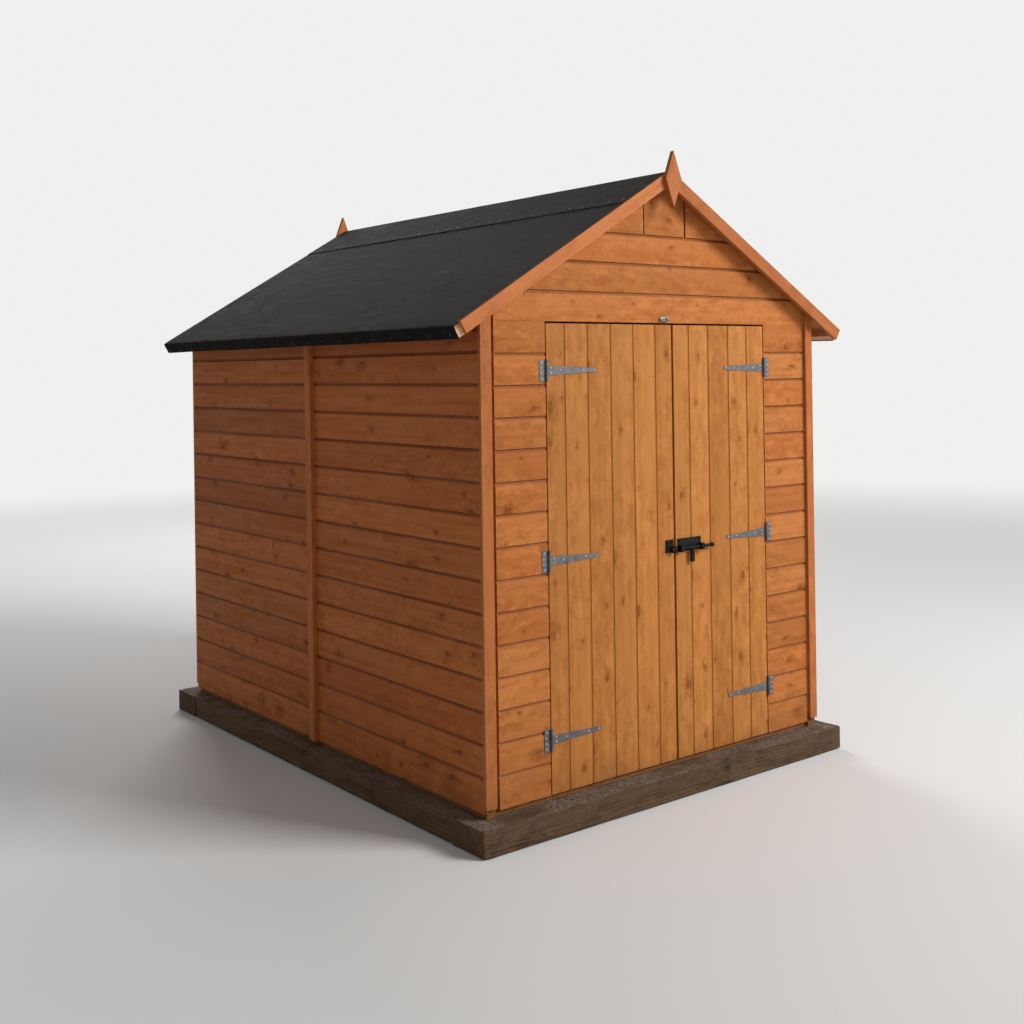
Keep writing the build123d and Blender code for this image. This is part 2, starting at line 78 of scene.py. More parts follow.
# Materials
class Graph:
    """Adds and joins the nodes of a material or a world."""

    def __init__(self, owner):
        owner.use_nodes = True
        self.tree = owner.node_tree
        self.tree.nodes.clear()

    def add(self, kind, **settings):
        node = self.tree.nodes.new(kind)
        for key, value in settings.items():
            setattr(node, key, value)
        return node

    def feed(self, socket, value):
        if isinstance(value, bpy.types.NodeSocket):
            self.tree.links.new(value, socket)
        else:
            socket.default_value = value

    def join(self, node, *values):
        """Feed a node's inputs in their order, and give its first output."""
        for socket, value in zip(node.inputs, values):
            self.feed(socket, value)
        return node.outputs[0]

    def wire(self, node, **values):
        """Feed a node's inputs by name, and give the node."""
        for name, value in values.items():
            self.feed(node.inputs[name], value)
        return node

    def math(self, operation, first, second=0.0, third=0.0, clamp=False):
        node = self.add("ShaderNodeMath", operation=operation, use_clamp=clamp)
        return self.join(node, first, second, third)

    def times(self, product, *others):
        for other in others:
            product = self.math("MULTIPLY", product, other)
        return product

    def centred(self, share):
        """A share between 0 and 1, moved to lie round 0."""
        return self.math("SUBTRACT", share, 0.5)

    def scaled(self, vector, factors):
        return self.join(self.add("ShaderNodeVectorMath", operation="MULTIPLY"), vector, factors)

    def noise(self, vector, scale=1.0, detail=2.0, roughness=0.5):
        node = self.add("ShaderNodeTexNoise")
        self.wire(node, Vector=vector, Scale=scale, Detail=detail, Roughness=roughness)
        return node.outputs["Fac"]

    def warped(self, vector, scale, amount):
        """The vector pushed along by a noise, by up to the amount."""
        push = self.wire(self.add("ShaderNodeTexNoise"), Vector=vector, Scale=scale).outputs["Color"]
        node = self.add("ShaderNodeVectorMath", operation="MULTIPLY_ADD")
        return self.join(node, push, (amount,) * 3, vector)

    def cells(self, vector, scale, dimensions="3D"):
        node = self.add("ShaderNodeTexVoronoi", voronoi_dimensions=dimensions)
        self.wire(node, Vector=vector, Scale=scale)
        return node.outputs["Distance"], node.outputs["Color"]

    def blend(self, factor, first, second):
        node = self.add("ShaderNodeMix", data_type="RGBA")
        self.feed(node.inputs[0], factor)
        self.feed(node.inputs[6], first)
        self.feed(node.inputs[7], second)
        return node.outputs[2]

    def layered(self, colour, coats):
        """A colour under coats of (strength, colour), the last on top."""
        for strength, coat in coats:
            colour = self.blend(strength, colour, coat)
        return colour

    def remap(self, value, low, high, out_low=0.0, out_high=1.0):
        node = self.add("ShaderNodeMapRange", interpolation_type="SMOOTHSTEP")
        return self.join(node, value, low, high, out_low, out_high)

    def split(self, vector):
        node = self.add("ShaderNodeSeparateXYZ")
        self.join(node, vector)
        return tuple(node.outputs)

    def attribute(self, name, output):
        return self.add("ShaderNodeAttribute", attribute_name=name).outputs[output]

    def place(self):
        return self.add("ShaderNodeTexCoord").outputs["Object"]

    def facing_up(self):
        return self.split(self.add("ShaderNodeNewGeometry").outputs["Normal"])[2]


class Surface(Graph):
    """Graph of one material, round its main shader."""

    def __init__(self, name):
        self.material = bpy.data.materials.new(name)
        super().__init__(self.material)
        self.output = self.add("ShaderNodeOutputMaterial")
        self.shader = self.add("ShaderNodeBsdfPrincipled")
        self.feed(self.output.inputs["Surface"], self.shader.outputs["BSDF"])

    def bump(self, height, strength, distance):
        node = self.wire(self.add("ShaderNodeBump"), Strength=strength, Distance=distance, Height=height)
        self.feed(self.shader.inputs["Normal"], node.outputs[0])

    def finish(self, colour, roughness, metallic=0.0, specular=0.5):
        self.feed(self.shader.inputs["Base Color"], colour)
        self.feed(self.shader.inputs["Roughness"], roughness)
        self.shader.inputs["Metallic"].default_value = metallic
        self.shader.inputs["Specular IOR Level"].default_value = specular
        return self.material


def knots(g, grain, rate, share):
    """Masks of the knots' core, dark rim, whorl and halo, and a random share for each knot."""
    bent = g.warped(grain, 70.0, 0.022)
    reach, cell_colour = g.cells(g.scaled(bent, (rate * 0.62, rate, 0.0)), 1.0, "2D")
    chance, spread, swirl = g.split(cell_colour)
    present = g.math("LESS_THAN", chance, share)
    coarse = g.times(g.centred(g.noise(grain, 55.0)), 0.08)
    frayed = g.times(g.centred(g.noise(grain, 240.0)), 0.06)
    size = g.math("MULTIPLY_ADD", g.times(spread, spread), 0.08, 0.03)
    ratio = g.math("DIVIDE", g.math("ADD", reach, g.math("ADD", coarse, frayed)), size)
    core = g.times(g.remap(ratio, 1.2, 0.75), present)
    rim = g.times(g.remap(ratio, 1.35, 1.0), g.remap(ratio, 0.62, 0.95), present)
    whorl = g.times(core, g.remap(g.math("FRACT", g.times(ratio, 3.0)), 0.3, 0.8))
    halo = g.times(g.remap(ratio, 4.5, 0.8), present)
    return core, rim, whorl, halo, swirl


def growth_rings(g, grain, spacing, halo, swirl):
    """Dark lines of rings cut along the board, which bulge round the knots."""
    _, across, depth = g.split(grain)
    wander = g.times(g.centred(g.noise(g.scaled(grain, (1.1, 7, 7)))), 0.05)
    side = g.math("ADD", across, wander)
    under = g.math("ADD", depth, 0.03)
    radius = g.math("SQRT", g.math("ADD", g.times(side, side), g.times(under, under)))
    radius = g.math("MULTIPLY_ADD", halo, g.math("MULTIPLY_ADD", swirl, 0.012, 0.006), radius)
    phase = g.math("FRACT", g.math("DIVIDE", radius, spacing))
    return g.times(g.remap(phase, 0.35, 0.9), g.remap(phase, 1.0, 0.93))


def cracked(g, colour, height, grain, blotch, darkness):
    """Colour and height with drying cracks along the grain."""
    split = g.noise(g.scaled(grain, (2.6, 75, 75)), detail=2.0, roughness=0.6)
    near = g.math("ABSOLUTE", g.centred(split))
    crack = g.times(g.remap(near, 0.016, 0.004), g.remap(blotch, 0.42, 0.6))
    colour = g.blend(g.times(crack, darkness), colour, rgb(24, 19, 15))
    return colour, g.math("MULTIPLY_ADD", crack, -3.0, height)


def gritty(g, colour, height, place):
    """Colour and height with earth and fine grit lying on what faces up."""
    specks, speck_colour = g.cells(place, 170.0)
    spread = g.remap(g.noise(place, 7.0, 3.0), 0.3, 0.6)
    litter = g.times(g.remap(g.facing_up(), 0.7, 0.95), spread, 0.8)
    fines = g.blend(g.split(speck_colour)[0], rgb(58, 46, 38), rgb(142, 126, 112))
    colour = g.blend(litter, colour, fines)
    return colour, g.math("MULTIPLY_ADD", g.times(litter, specks), 2.2, height)


def wood(name, tones, ring=0.0045, late_share=0.16, knot_share=0.42, knot_rate=9.0,
         roughness=(0.5, 0.7), dust_and_foot_shade=None, cracks=0.0, grit=False, joint=0.5, groove=0.005, joint_shade_and_stain_colour=None,
         top_face_shade=None, flames=0.3):
    """Timber in four tones, pale to knot, whose rings, fibres and knots follow each board's own grain."""
    pale, deep, late, knot = (rgb(*tone) for tone in tones)
    g = Surface(name)
    grain = g.attribute("grain", "Vector")
    tint = g.attribute("tint", "Fac")
    recess = g.attribute("recess", "Fac")
    place = g.place()
    glow = (*(min(1.0, value * 1.22) for value in pale[:3]), 1.0)
    core, rim, whorl, halo, swirl = knots(g, grain, knot_rate, knot_share)
    latewood = growth_rings(g, grain, ring, halo, swirl)

    fibre = g.noise(g.scaled(grain, (14, 900, 900)), detail=3.0)
    streak = g.noise(g.scaled(grain, (2.0, 48, 48)), detail=3.0)
    blotch = g.noise(g.scaled(grain, (5.0, 16, 16)), detail=2.0)
    smudge = g.noise(g.scaled(grain, (13.0, 40, 40)), detail=4.0, roughness=0.62)
    flame = g.noise(g.scaled(g.warped(grain, 30.0, 0.05), (12.0, 30.0, 30.0)), detail=3.0)
    busy = g.remap(g.noise(g.scaled(grain, (1.6, 6.0, 6.0))), 0.38, 0.56, 0.3, 1.0)
    slant = g.wire(g.add("ShaderNodeVectorRotate", rotation_type="Z_AXIS"), Vector=grain, Angle=0.6)
    fleck = g.noise(g.scaled(slant.outputs[0], (55.0, 150.0, 60.0)), detail=3.0, roughness=0.6)

    colour = g.layered(g.blend(tint, pale, deep), (
        (g.remap(streak, 0.42, 0.74, 0.0, 0.26), late),
        (g.times(latewood, g.math("MULTIPLY_ADD", halo, 0.45, late_share)), late),
        (g.remap(fibre, 0.45, 0.8, 0.0, 0.2), late),
        (g.remap(blotch, 0.5, 0.72, 0.0, 0.35), deep),
        (g.remap(smudge, 0.54, 0.74, 0.0, 0.4), late),
        (g.times(halo, g.remap(smudge, 0.44, 0.6, 0.0, 0.8)), late),
        (g.times(g.remap(flame, 0.53, 0.6, 0.0, flames), busy), late),
        (g.times(g.remap(flame, 0.45, 0.38, 0.0, flames * 0.8), busy), glow),
        (g.times(g.remap(fleck, 0.6, 0.72), busy, 0.45), late),
        (g.times(core, 0.5), knot),
        (g.times(whorl, 0.2), knot),
        (g.times(rim, g.remap(smudge, 0.4, 0.6, 0.1, 0.5)), knot),
    ))
    board_tone = g.remap(g.math("FRACT", g.times(tint, 7.31)), 0, 1, 0.9, 1.06)
    colour = g.wire(g.add("ShaderNodeHueSaturation"), Value=board_tone, Color=colour).outputs[0]
    # Painted shade, with some stain pooled in it, darkens each joint the deeper the board lies behind its
    # face there.
    joint_shade_and_stain = g.times(g.remap(recess, 0.0008, groove), g.remap(recess, 0.0085, 0.0068))
    colour = g.blend(g.times(joint_shade_and_stain, joint), colour, joint_shade_and_stain_colour or late)
    height = g.math("MULTIPLY_ADD", latewood, 0.35, fibre)
    height = g.math("MULTIPLY_ADD", core, -0.5, height)
    rough = g.remap(streak, 0.3, 0.7, *roughness)
    # Painted shade darkens the faces that look up. Those faces are also made rough.
    if top_face_shade:
        upward_faces = g.remap(g.facing_up(), 0.6, 0.8)
        colour = g.blend(g.times(upward_faces, 0.85), colour, top_face_shade)
        rough = g.math("MAXIMUM", rough, upward_faces)
    if cracks:
        colour, height = cracked(g, colour, height, grain, blotch, cracks)
    # Patches low down take the foot colour: real dust on most timbers, painted shade on the side walls.
    if dust_and_foot_shade:
        low_down = g.remap(g.split(place)[2], 0.42, 0.10)
        foot_patches = g.remap(g.noise(place, 9.0, 4.0, 0.6), 0.35, 0.75, 0.0, 0.4)
        colour = g.blend(g.times(low_down, foot_patches), colour, dust_and_foot_shade)
    if grit:
        colour, height = gritty(g, colour, height, place)
    g.bump(height, 0.4, 0.0009)
    return g.finish(colour, rough, specular=0.16)


def mineral_felt():
    """Charcoal roofing felt with a coat of mineral granules, worn in soft patches, with painted light
    towards the back and painted shade on the faces that don't look up.
    """
    g = Surface("mineral_felt")
    place = g.place()
    reach, cell_colour = g.cells(place, 620.0)
    broad = g.noise(place, 1.1)
    mottle = g.noise(g.scaled(place, (26.0, 9.0, 26.0)), 1.0, 3.0, 0.6)
    bare = g.noise(g.scaled(place, (1.0, 0.4, 1.0)), 38.0, 3.0, 0.6)
    # Painted light: the felt grows lighter towards the back, and the mottle fades out there.
    rear_painted_light = g.remap(g.split(place)[1], 0.1, 1.1)
    front_share = g.math("SUBTRACT", 1.1, rear_painted_light, clamp=True)
    colour = g.layered(g.blend(g.split(cell_colour)[0], rgb(20, 18, 17), rgb(42, 39, 37)), (
        (g.times(g.remap(mottle, 0.4, 0.66, 0.0, 0.55), front_share), rgb(78, 75, 70)),
        (g.remap(broad, 0.42, 0.66, 0.0, 0.4), rgb(58, 56, 52)),
        (g.times(rear_painted_light, 0.4), rgb(66, 65, 61)),
        (g.remap(bare, 0.42, 0.68, 0.0, 0.5), rgb(15, 14, 15)),
        # Painted shade on the faces that don't look up, such as the fold round the eaves and the sheet
        # edges.
        (g.remap(g.facing_up(), 0.6, 0.4, 0.0, 0.75), rgb(20, 18, 17)),
    ))
    grains = g.math("MULTIPLY_ADD", bare, 0.6, reach)
    grains = g.math("MULTIPLY_ADD", mottle, 1.2, grains)
    g.bump(grains, 0.35, 0.0018)
    return g.finish(colour, g.remap(mottle, 0.3, 0.7, 0.84, 0.96), specular=0.06)


def galvanised():
    """Zinc with a faint spangle and dull clouds."""
    g = Surface("zinc_plate")
    place = g.place()
    _, cell_colour = g.cells(place, 95.0)
    cloud = g.noise(place, 26.0, 3.0, 0.55)
    colour = g.blend(g.split(cell_colour)[0], rgb(98, 96, 97), rgb(116, 114, 115))
    colour = g.blend(g.remap(cloud, 0.5, 0.75, 0.0, 0.5), colour, rgb(72, 68, 66))
    g.bump(cloud, 0.12, 0.0006)
    return g.finish(colour, g.remap(cloud, 0.3, 0.7, 0.38, 0.6), metallic=0.75)


def painted_black():
    """Black paint on steel, a little uneven."""
    g = Surface("black_paint")
    place = g.place()
    cloud = g.noise(place, 60.0, 4.0, 0.6)
    colour = g.blend(g.remap(cloud, 0.45, 0.75), rgb(4, 3, 3), rgb(9, 8, 7))
    g.bump(g.noise(place, 420.0), 0.12, 0.0005)
    return g.finish(colour, g.remap(cloud, 0.3, 0.7, 0.5, 0.7), specular=0.16)


def nail_steel(name, dull, bright, metallic):
    g = Surface(name)
    cloud = g.noise(g.place(), 190.0, 3.0)
    return g.finish(g.blend(cloud, dull, bright), g.remap(cloud, 0.3, 0.7, 0.4, 0.7), metallic=metallic)


dust = rgb(124, 88, 56)
rough_sawn = (0.65, 0.85)
cladding = wood("stained_cladding", ((196, 124, 64), (180, 106, 50), (148, 78, 28), (112, 50, 12)),
                knot_share=0.5, dust_and_foot_shade=dust, joint=0.55, joint_shade_and_stain_colour=rgb(98, 46, 12), flames=0.36)
# Darker, redder copy of the cladding for the side walls, the rear wall and the rear gable: painted shade.
# Its foot colour paints deeper shade low down, and its joint colour paints deeper shade in the joints.
shade_painted_cladding = wood("shaded_cladding", ((188, 110, 54), (168, 92, 42), (130, 64, 24), (94, 40, 10)),
                     knot_share=0.5, dust_and_foot_shade=rgb(76, 46, 26), joint=0.6, joint_shade_and_stain_colour=rgb(80, 34, 8), flames=0.24)
door_wood = wood("stained_doors", ((196, 130, 66), (180, 114, 54), (150, 86, 30), (118, 60, 14)),
                 knot_share=0.5, dust_and_foot_shade=dust, joint=0.6, groove=0.0022, flames=0.34)
# The trims' upward faces carry painted shade.
trim_wood = wood("stained_trim", ((192, 116, 62), (174, 100, 52), (140, 74, 32), (92, 42, 14)),
                 knot_share=0.3, dust_and_foot_shade=dust, top_face_shade=rgb(60, 42, 28))
frame_wood = wood("sawn_frame", ((206, 152, 110), (188, 132, 92), (150, 98, 62), (90, 54, 34)),
                  knot_share=0.3, roughness=rough_sawn)
# Paler copy of the frame timber for the eaves battens, whose cut ends show under the felt: painted light.
lit_batten_wood = wood("painted_light_battens", ((240, 200, 164), (230, 184, 146), (200, 150, 112), (126, 84, 56)),
                   knot_share=0.2, roughness=rough_sawn)
# Darker copy of the frame timber for the bearers under the floor: painted shade.
shaded_bearer_wood = wood("shade_painted_bearers", ((150, 102, 60), (128, 84, 48), (94, 58, 32), (62, 36, 20)),
                   knot_share=0.3, roughness=rough_sawn)
floor_wood = wood("floor_pine", ((206, 168, 118), (190, 150, 102), (156, 114, 72), (98, 62, 36)),
                  roughness=(0.55, 0.75), dust_and_foot_shade=rgb(140, 118, 94))
roof_wood = wood("roof_pine", ((206, 154, 96), (190, 134, 78), (156, 100, 54), (94, 56, 32)),
                 roughness=(0.6, 0.8))
sleeper_wood = wood("weathered_sleeper", ((102, 79, 58), (80, 61, 44), (52, 39, 28), (36, 27, 19)),
                    ring=0.007, late_share=0.5, knot_share=0.3, knot_rate=6.0, roughness=(0.75, 0.95),
                    cracks=0.85, grit=True)
felt = mineral_felt()
zinc = galvanised()
black = painted_black()
nail_dark = nail_steel("wire_nail", rgb(84, 44, 20), rgb(112, 62, 30), 0.0)
# Plated screw heads: bright steel made brighter still as painted glints.
glinting_screw_steel = nail_steel("plated_screw_painted_glint", rgb(146, 146, 148), rgb(194, 194, 196), 0.5)
nail_dull = nail_steel("clout_nail", rgb(24, 23, 23), rgb(36, 35, 34), 0.3)


# Mesh building
def linked(name, data):
    """A new object in the scene."""
    obj = bpy.data.objects.new(name, data)
    bpy.context.scene.collection.objects.link(obj)
    return obj


def settle(name, mesh, material, body, replaced=(), smooth_below=40.0):
    """Put a finished mesh in the scene as one piece of the shed."""
    mesh.validate()
    obj = linked(name, mesh)
    mesh.materials.clear()
    mesh.materials.append(material)
    mesh.polygons.foreach_set("use_smooth", [True] * len(mesh.polygons))
    mesh.set_sharp_from_angle(angle=math.radians(smooth_below))
    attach(obj, body)
    if replaced:
        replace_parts(obj, *replaced)
    return obj


class Timber:
    """Gathers boards into one mesh. Each board has its own grain direction, grain offset and tint."""

    def __init__(self):
        self.points = []
        self.faces = []
        self.grain = []
        self.tint = []
        self.recess = []

    def add(self, bm, origin, axes, faced=False):
        """Take in one board. A faced board keeps how far each point lies behind its face."""
        base = len(self.points)
        shift = (random.uniform(0, 40), random.uniform(-0.04, 0.04), random.uniform(0.0, 0.03))
        tint = random.random()
        bm.verts.index_update()
        for vert in bm.verts:
            local = vert.co - origin
            self.points.append(vert.co.copy())
            self.grain += [local.dot(axis) + offset for axis, offset in zip(axes, shift)]
            self.tint.append(tint)
            self.recess.append(local.dot(axes[2]) if faced else 0.0)
        for face in bm.faces:
            self.faces.append([base + vert.index for vert in face.verts])
        bm.free()

    def piece(self, name, material, body, slot, replaced=(), smooth_below=40.0):
        mesh = bpy.data.meshes.new(name)
        mesh.from_pydata(self.points, [], self.faces)
        for label, kind, key, values in (
            ("grain", "FLOAT_VECTOR", "vector", self.grain),
            ("tint", "FLOAT", "value", self.tint),
            ("recess", "FLOAT", "value", self.recess),
        ):
            mesh.attributes.new(label, kind, "POINT").data.foreach_set(key, values)
        return settle(name, mesh, material, body, replaced, smooth_below)


def solid_faces(rows):
    """Faces of a solid that runs through closed rows of points: its sides, then its two ends."""
    faces = []
    for row, following in zip(rows, rows[1:]):
        faces += zip(row, row[1:] + row[:1], following[1:] + following[:1], following)
    return [*faces, rows[0][::-1], rows[-1]]


def board_mesh(profile, origin, axes, length, cuts=()):
    """Profile of (across, deep) points carried along the first axis, kept behind each cutting plane."""
    along, across, deep = axes
    bm = bmesh.new()
    ends = []
    for reach in (0.0, length):
        ends.append([bm.verts.new(origin + along * reach + across * u + deep * d) for u, d in profile])
    for corners in solid_faces(ends):
        bm.faces.new(corners)
    for point, normal in cuts:
        sliced(bm, point, normal)
    bmesh.ops.recalc_face_normals(bm, faces=bm.faces)
    return bm


def shiplap(cover, thickness, first=False, last=False, step=0.006, scoop=0.012):
    """Shiplap section: a square lip at the foot, and a scooped top that runs into the tongue."""
    lap = 0.006
    play = 0.0004
    round_off = 0.001
    scoop_parts = 6
    if first:
        points = [(round_off, 0.0), (0.0, round_off), (0.0, thickness)]
    else:
        points = [
            (2 * round_off, 0.0), (0.6 * round_off, 0.4 * round_off), (0.0, 1.4 * round_off),
            (0.0, step - play), (lap + play, step - play), (lap + play, thickness),
        ]
    if last:
        return [*points, (cover, thickness), (cover, round_off), (cover - round_off, 0.0)]
    points += [(cover + lap, thickness), (cover + lap, step), (cover - play, step)]
    foot = cover - play - scoop
    for number in range(scoop_parts - 1, -1, -1):
        turn = math.radians(90 * number / scoop_parts)
        points.append((foot + scoop * (1 - math.cos(turn)), step * math.sin(turn)))
    return points


def plank(width, thickness, chamfer):
    """Plain board section with eased edges."""
    return [
        (chamfer, 0.0), (0.0, chamfer), (0.0, thickness - chamfer), (chamfer, thickness),
        (width - chamfer, thickness), (width, thickness - chamfer),
        (width, chamfer), (width - chamfer, 0.0),
    ]


def islands(bm):
    """Lists of vertices that hang together, in the mesh's own order."""
    seen = set()
    found = []
    for start in bm.verts:
        if start in seen:
            continue
        seen.add(start)
        group = [start]
        for vert in group:
            for edge in vert.link_edges:
                other = edge.other_vert(vert)
                if other not in seen:
                    seen.add(other)
                    group.append(other)
        found.append(group)
    return found


def welded(node):
    """The CAD node's mesh with its corners joined and its flat faces whole."""
    bm = bmesh.new()
    bm.from_mesh(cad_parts[node].data)
    bmesh.ops.remove_doubles(bm, verts=bm.verts, dist=0.00001)
    bmesh.ops.dissolve_limit(bm, angle_limit=math.radians(1.0), verts=bm.verts, edges=bm.edges)
    return bm


def centre_of(bm):
    return sum((vert.co for vert in bm.verts), Vector()) / len(bm.verts)


def solids_of(node):
    """Each solid of a CAD node as its own mesh, in order of place."""
    whole = welded(node)
    found = []
    for group in islands(whole):
        single = bmesh.new()
        copies = {vert: single.verts.new(vert.co) for vert in group}
        for face in whole.faces:
            if face.verts[0] in copies:
                single.faces.new([copies[vert] for vert in face.verts])
        found.append(single)
    whole.free()
    return sorted(found, key=lambda bm: tuple(round(x, 5) for x in centre_of(bm)))


def long_axes(bm):
    """Directions of a solid, longest first, from its longest edges."""
    edges = sorted(bm.edges, key=lambda edge: -edge.calc_length())
    first = (edges[0].verts[1].co - edges[0].verts[0].co).normalized()
    if max(first, key=abs) < 0:
        first = -first
    for edge in edges:
        way = edge.verts[1].co - edge.verts[0].co
        way = way - first * way.dot(first)
        if way.length > 0.5 * edge.calc_length():
            break
    second = way.normalized()
    return first, second, first.cross(second)


def soften(bm, width, segments=1):
    """Ease the sharp edges of a solid."""
    sharp = math.radians(30.0)
    edges = [edge for edge in bm.edges if len(edge.link_faces) == 2 and edge.calc_face_angle(0) > sharp]
    bmesh.ops.bevel(
        bm, geom=edges, offset=width, segments=segments, profile=0.5, affect="EDGES", clamp_overlap=True
    )


def sliced(bm, point, normal):
    """Cut away what lies beyond a plane and close the mesh."""
    everything = bm.verts[:] + bm.edges[:] + bm.faces[:]
    cut = bmesh.ops.bisect_plane(bm, geom=everything, plane_co=point, plane_no=normal, clear_outer=True)
    edges = [edge for edge in cut["geom_cut"] if isinstance(edge, bmesh.types.BMEdge)]
    if edges:
        bmesh.ops.holes_fill(bm, edges=edges, sides=0)


def dressed_timber(name, node, material, slot, body="shed", cut=None):
    """Timbers of a CAD node with grain along their length, planed and eased where a plane is given."""
    ease = 0.0015
    timber = Timber()
    for bm in solids_of(node):
        axes = long_axes(bm)
        origin = centre_of(bm)
        if cut:
            sliced(bm, *cut)
            soften(bm, ease)
        timber.add(bm, origin, axes)
    return timber.piece(name, material, body, slot, [node])


def dressed_metal(name, node, material, body, ease=0.0006):
    """Metal of a CAD node with eased edges."""
    bm = welded(node)
    soften(bm, ease, segments=2)
    mesh = bpy.data.meshes.new(name)
    bm.to_mesh(mesh)
    bm.free()
    return settle(name, mesh, material, body, [node], 35.0)


class Studs:
    """Gathers nail or screw heads into one mesh."""

    def __init__(self):
        self.points = []
        self.faces = []

    def head(self, place, out, rings, corners):
        """Turned head: rings of (radius, height) from the rim inwards, the last one closed."""
        sunk = 0.001
        across = out.orthogonal().normalized()
        up = out.cross(across)
        turn = random.uniform(0, math.tau)
        rows = []
        for radius, height in [(rings[0][0], -sunk), *rings]:
            base = len(self.points)
            rows.append(list(range(base, base + corners)))
            for number in range(corners):
                angle = turn + math.tau * number / corners
                way = across * math.cos(angle) + up * math.sin(angle)
                self.points.append(place + way * radius + out * height)
        self.faces += solid_faces(rows)

    def nail(self, place, out):
        self.head(place, out, [(0.0028, 0.0001), (0.002, 0.0004)], 8)

    def clout(self, place, out):
        self.head(place, out, [(0.005, 0.0006), (0.0042, 0.0011)], 12)

    def screw(self, place, out):
        radius = 0.0038
        rings = [(radius, 0.0004), (radius * 0.72, 0.0014), (radius * 0.4, 0.0017), (radius * 0.3, 0.0006)]
        self.head(place, out, rings, 12)

    def dome(self, place, out):
        radius = 0.005
        rings = [(radius, 0.0006), (radius * 0.92, 0.0022), (radius * 0.66, 0.0038), (radius * 0.3, 0.0046)]
        self.head(place, out, rings, 16)

    def piece(self, name, material, body, slot):
        mesh = bpy.data.meshes.new(name)
        mesh.from_pydata(self.points, [], self.faces)
        return settle(name, mesh, material, body)


# Camera, placed by fitting the photograph
eye = Vector((-3.5489, -4.7316, 1.6879))
yaw = math.radians(38.233)
pitch = math.radians(-0.053)
roll = math.radians(-0.815)
forward = Vector((math.sin(yaw) * math.cos(pitch), math.cos(yaw) * math.cos(pitch), -math.sin(pitch)))
level = Vector((math.cos(yaw), -math.sin(yaw), 0.0))
raised = level.cross(forward)
camera_right = level * math.cos(roll) + raised * math.sin(roll)
camera_up = raised * math.cos(roll) - level * math.sin(roll)
camera = linked("camera", bpy.data.cameras.new("camera"))
turned = Matrix((camera_right, camera_up, -forward)).transposed().to_4x4()
camera.matrix_world = Matrix.Translation(eye) @ turned
camera.data.sensor_width = 36.0
camera.data.lens = 43.97
camera.data.shift_y = -0.14
camera.data.clip_end = 200.0
bpy.context.scene.camera = camera


# Shiplap walls
def wall_axes(low, high):
    """Outer lower corner, (along, up, inwards) directions and length of a wall slab."""
    if high.x - low.x < high.y - low.y:
        inwards = RIGHT if low.x < 0 else -RIGHT
        return Vector((low.x if low.x < 0 else high.x, low.y, low.z)), (BACK, UP, inwards), high.y - low.y
    inwards = BACK if low.y < 0 else -BACK
    return Vector((low.x, low.y if low.y < 0 else high.y, low.z)), (RIGHT, UP, inwards), high.x - low.x


def slope(side):
    """Directions down and square out of the left (-1) or right (1) slope."""
    return Vector((side * slope_cos, 0, -slope_sin)), Vector((side * slope_sin, 0, slope_cos))


def roof_cut(side, depth):
    """Plane a square depth below the felt's top on one slope, as point and outward normal."""
    return Vector((0, 0, ridge_top - depth / slope_cos)), slope(side)[1]


def courses(bottom, top, line):
    """Heights of the board joints between bottom and top, one of them at the given line."""
    shortest = 0.03
    height = line - math.floor((line - bottom) / board_cover) * board_cover
    heights = [bottom]
    while height < top - shortest:
        if height > bottom + shortest:
            heights.append(height)
        height += board_cover
    return [*heights, top]


wall_nails = Studs()
both_slopes = [roof_cut(-1, roof_build), roof_cut(1, roof_build)]


def nail_course(origin, axes, low, high, places):
    """Two nails in each place along one course of boards."""
    along, up, inwards = axes
    wobble = 0.003
    for place in places:
        for share in (0.2, 0.72):
            jitter = random.uniform(-wobble, wobble)
            height = low + (high - low) * share + random.uniform(-wobble, wobble)
            wall_nails.nail(origin + along * (place + jitter) + up * (height - origin.z), -inwards)


def clad(node, material, line, nail_places, cuts=()):
    """Replace one wall slab by its boards."""
    nailed_height = 0.06
    low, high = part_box(node)
    origin, axes, length = wall_axes(low, high)
    thickness = min(high.x - low.x, high.y - low.y)
    heights = courses(low.z, high.z, line)
    timber = Timber()
    for number, (bottom, top) in enumerate(zip(heights, heights[1:])):
        section = shiplap(top - bottom, thickness, number == 0, number == len(heights) - 2)
        start = origin + UP * (bottom - origin.z)
        timber.add(board_mesh(section, start, axes, length, cuts), start, axes, True)
        if top - bottom > nailed_height:
            nail_course(origin, axes, bottom, top, nail_places)
    timber.piece(f"{node}_boards", material, "shed", "cladding_timber", [node])


end_nail = 0.02
side_line = cladding_foot + 1.638
for side, side_name in sides:
    node = f"front_wall_{side_name}"
    low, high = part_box(node)
    clad(node, cladding, gable_foot, (end_nail, high.x - low.x - end_nail))
    for end_name in ("front", "rear"):
        node = f"{side_name}_wall_{end_name}"
        low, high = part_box(node)
        length = high.y - low.y
        nail_places = (end_nail, length / 2, length - end_nail)
        clad(node, shade_painted_cladding, side_line, nail_places, [roof_cut(side, roof_build)])
rear_nails = (0.012, 0.563, 1.127, 1.69)
clad("rear_wall", shade_painted_cladding, gable_foot, rear_nails)


